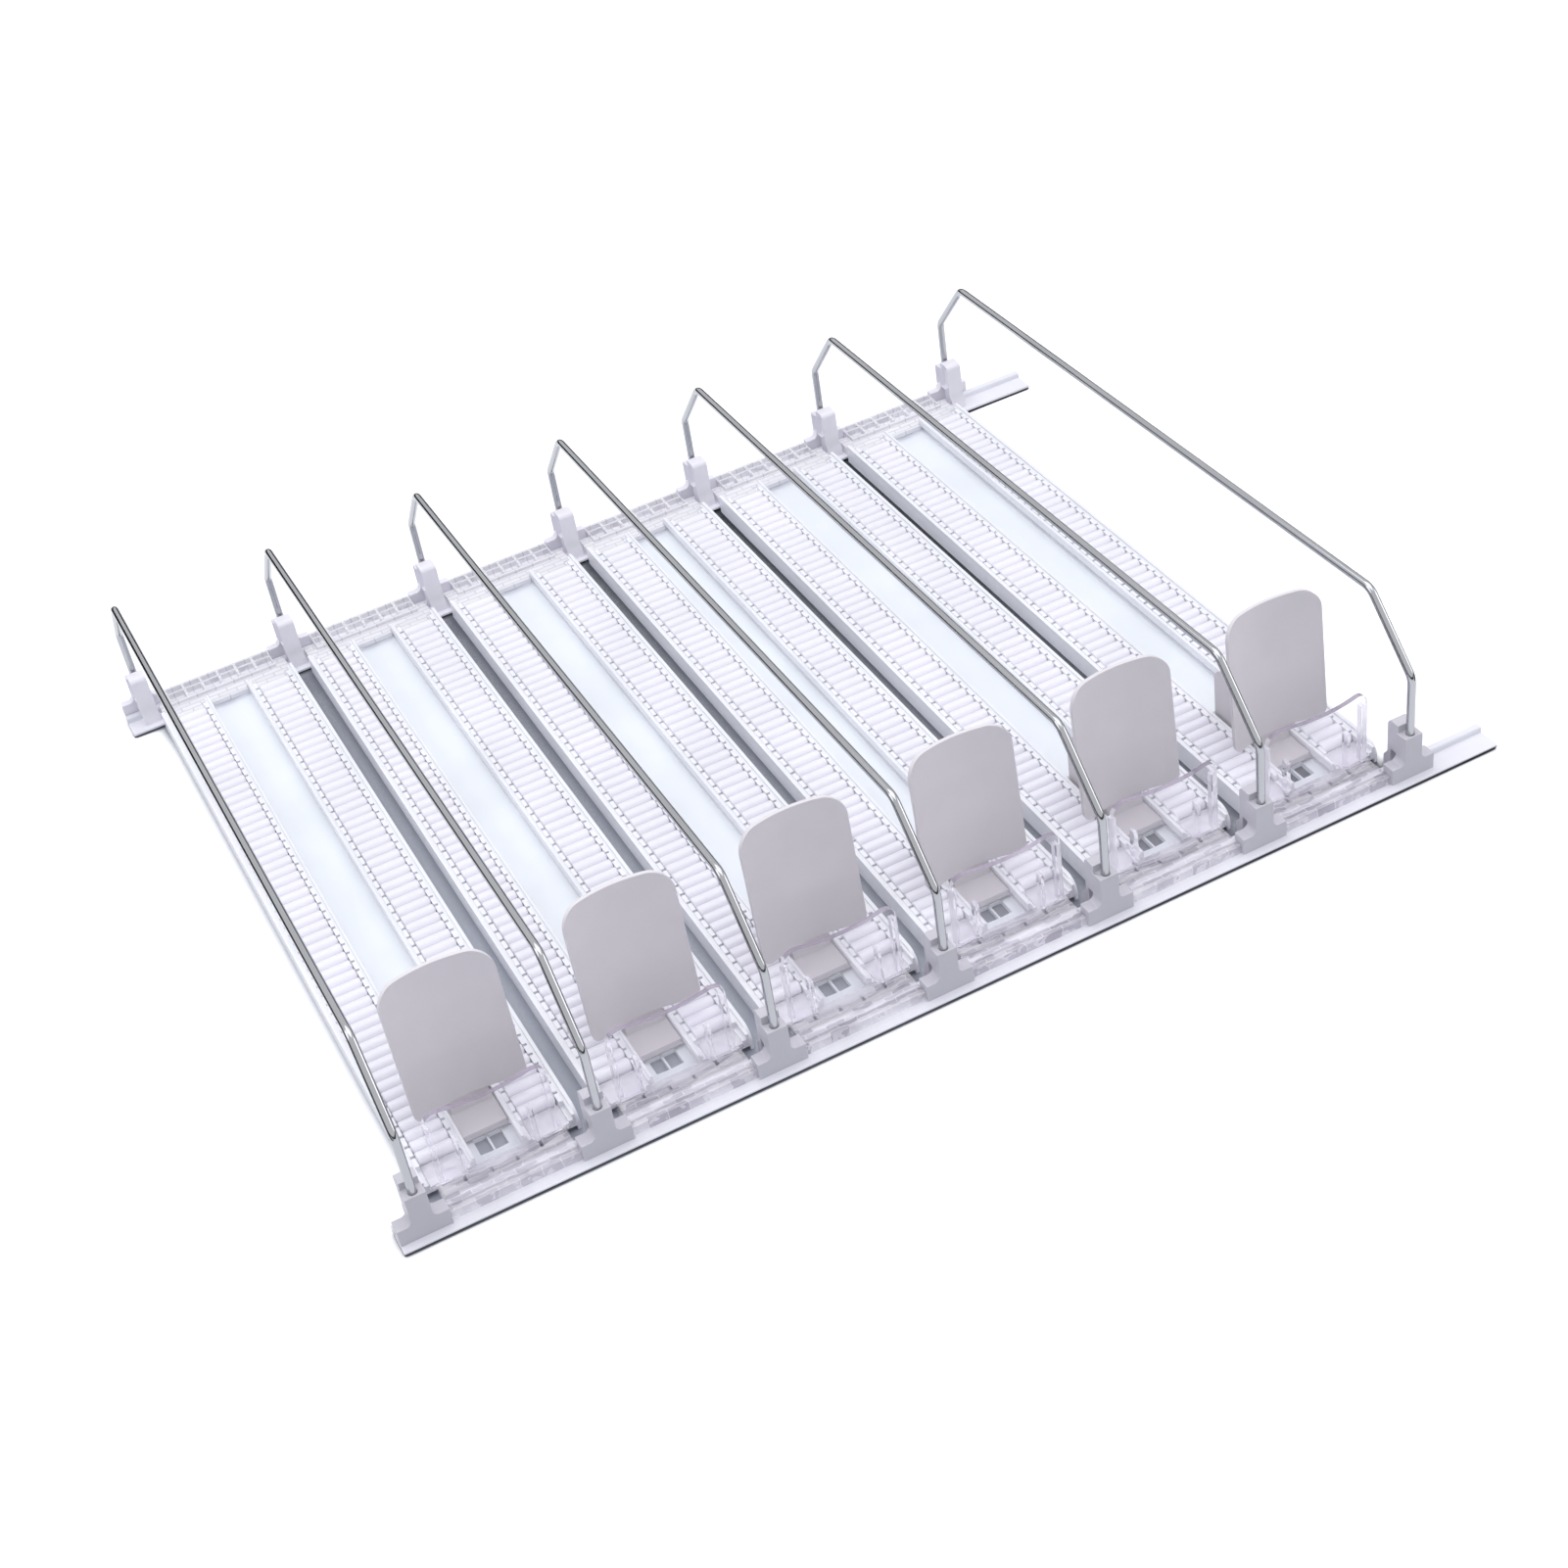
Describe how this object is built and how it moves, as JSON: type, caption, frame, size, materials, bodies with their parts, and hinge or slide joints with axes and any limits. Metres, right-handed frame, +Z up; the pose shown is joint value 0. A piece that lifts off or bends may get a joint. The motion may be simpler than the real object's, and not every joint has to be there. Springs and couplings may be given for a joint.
{
  "type": "fridge can organizer",
  "caption": "Shelf organizer for cans: side-by-side roller tracks on two rails, with sprung pushers, clear front stops and bent wire dividers.",
  "frame": {"origin": "middle of the object's box in X and Y, at the surface that it stands on", "axes": "+X along the rails, to the right for someone in front; +Y along the lanes, from the front stops to the rear; +Z up"},
  "size_m": [0.482, 0.3826, 0.0804],
  "materials": {
    "rail": "white extruded plastic, satin",
    "strip": "dark anti-slip strip",
    "wire": "bright nickel-plated steel wire",
    "clip": "white moulded plastic",
    "track": "white moulded plastic, low gloss",
    "clear_stop": "clear polycarbonate",
    "clear_connector": "clear polycarbonate",
    "pusher": "light grey-white moulded plastic, satin",
    "spring": "coiled spring steel tape"
  },
  "bodies": {
    "root": {"front_rail": "rail", "rear_rail": "rail", "anti_slip_strips": "strip", "divider_wire_1": "wire", "front_clip_1": "clip", "rear_clip_1": "clip", "divider_wire_2": "wire", "front_clip_2": "clip", "rear_clip_2": "clip", "divider_wire_3": "wire", "front_clip_3": "clip", "rear_clip_3": "clip", "divider_wire_4": "wire", "front_clip_4": "clip", "rear_clip_4": "clip", "divider_wire_5": "wire", "front_clip_5": "clip", "rear_clip_5": "clip", "divider_wire_6": "wire", "front_clip_6": "clip", "rear_clip_6": "clip", "divider_wire_7": "wire", "front_clip_7": "clip", "rear_clip_7": "clip", "track_1": "track", "front_stop_1": "clear_stop", "rear_connector_1": "clear_connector", "spring_tape_1": "spring", "track_2": "track", "front_stop_2": "clear_stop", "rear_connector_2": "clear_connector", "spring_tape_2": "spring", "track_3": "track", "front_stop_3": "clear_stop", "rear_connector_3": "clear_connector", "spring_tape_3": "spring", "track_4": "track", "front_stop_4": "clear_stop", "rear_connector_4": "clear_connector", "spring_tape_4": "spring", "track_5": "track", "front_stop_5": "clear_stop", "rear_connector_5": "clear_connector", "spring_tape_5": "spring", "track_6": "track", "front_stop_6": "clear_stop", "rear_connector_6": "clear_connector", "spring_tape_6": "spring"},
    "pusher_1": {"pusher_1": "pusher", "spring_coil_1": "spring"},
    "pusher_2": {"pusher_2": "pusher", "spring_coil_2": "spring"},
    "pusher_3": {"pusher_3": "pusher", "spring_coil_3": "spring"},
    "pusher_4": {"pusher_4": "pusher", "spring_coil_4": "spring"},
    "pusher_5": {"pusher_5": "pusher", "spring_coil_5": "spring"},
    "pusher_6": {"pusher_6": "pusher", "spring_coil_6": "spring"}
  },
  "joints": [
    {"name": "pusher_slide_1", "type": "slide", "parent": "root", "child": "pusher_1", "axis": [0, 1, 0], "range_m": [0, 0.275], "stiffness_N_per_m": 4, "springref_m": -0.8, "deforming": ["spring_tape_1"]},
    {"name": "pusher_slide_2", "type": "slide", "parent": "root", "child": "pusher_2", "axis": [0, 1, 0], "range_m": [0, 0.275], "stiffness_N_per_m": 4, "springref_m": -0.8, "deforming": ["spring_tape_2"]},
    {"name": "pusher_slide_3", "type": "slide", "parent": "root", "child": "pusher_3", "axis": [0, 1, 0], "range_m": [0, 0.275], "stiffness_N_per_m": 4, "springref_m": -0.8, "deforming": ["spring_tape_3"]},
    {"name": "pusher_slide_4", "type": "slide", "parent": "root", "child": "pusher_4", "axis": [0, 1, 0], "range_m": [0, 0.275], "stiffness_N_per_m": 4, "springref_m": -0.8, "deforming": ["spring_tape_4"]},
    {"name": "pusher_slide_5", "type": "slide", "parent": "root", "child": "pusher_5", "axis": [0, 1, 0], "range_m": [0, 0.275], "stiffness_N_per_m": 4, "springref_m": -0.8, "deforming": ["spring_tape_5"]},
    {"name": "pusher_slide_6", "type": "slide", "parent": "root", "child": "pusher_6", "axis": [0, 1, 0], "range_m": [0, 0.275], "stiffness_N_per_m": 4, "springref_m": -0.8, "deforming": ["spring_tape_6"]}
  ]
}
